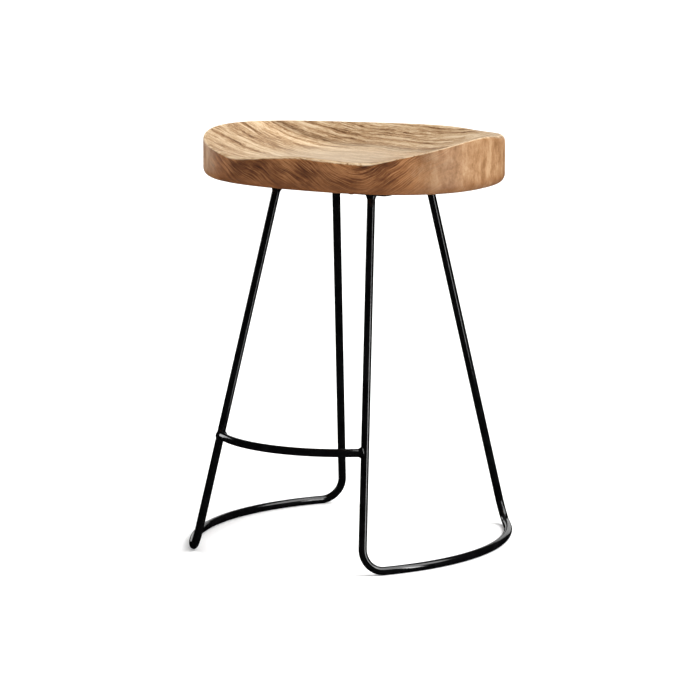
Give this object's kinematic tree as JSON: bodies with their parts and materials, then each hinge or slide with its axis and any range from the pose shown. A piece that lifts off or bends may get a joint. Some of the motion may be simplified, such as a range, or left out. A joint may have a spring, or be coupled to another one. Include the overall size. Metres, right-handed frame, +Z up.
{
  "type": "bar stool with footrest",
  "caption": "Backless counter stool: carved hardwood saddle seat on splayed bent steel rod legs joined by curved floor rails, with a bowed rod footrest at the front.",
  "frame": {"origin": "on the floor under the middle of the stool, midway between the two floor rails and between the front and back legs", "axes": "+Z up, -Y is the front, where the footrest is and which the sitter faces, +X is to the right as seen from the front"},
  "size_m": [0.4524, 0.4325, 0.6128],
  "materials": {
    "carved_wood": "clear satin lacquer over carved light brown hardwood, long grain side to side",
    "black_steel": "semi-gloss black powder coat over steel rod and plate",
    "screw_steel": "dark zinc plated wood screws"
  },
  "bodies": {
    "root": {"seat": "carved_wood", "mounting_plate": "black_steel", "seat_screws": "screw_steel", "left_side_frame": "black_steel", "right_side_frame": "black_steel", "footrest": "black_steel", "leg_top_welds": "black_steel", "footrest_welds": "black_steel"}
  },
  "joints": []
}
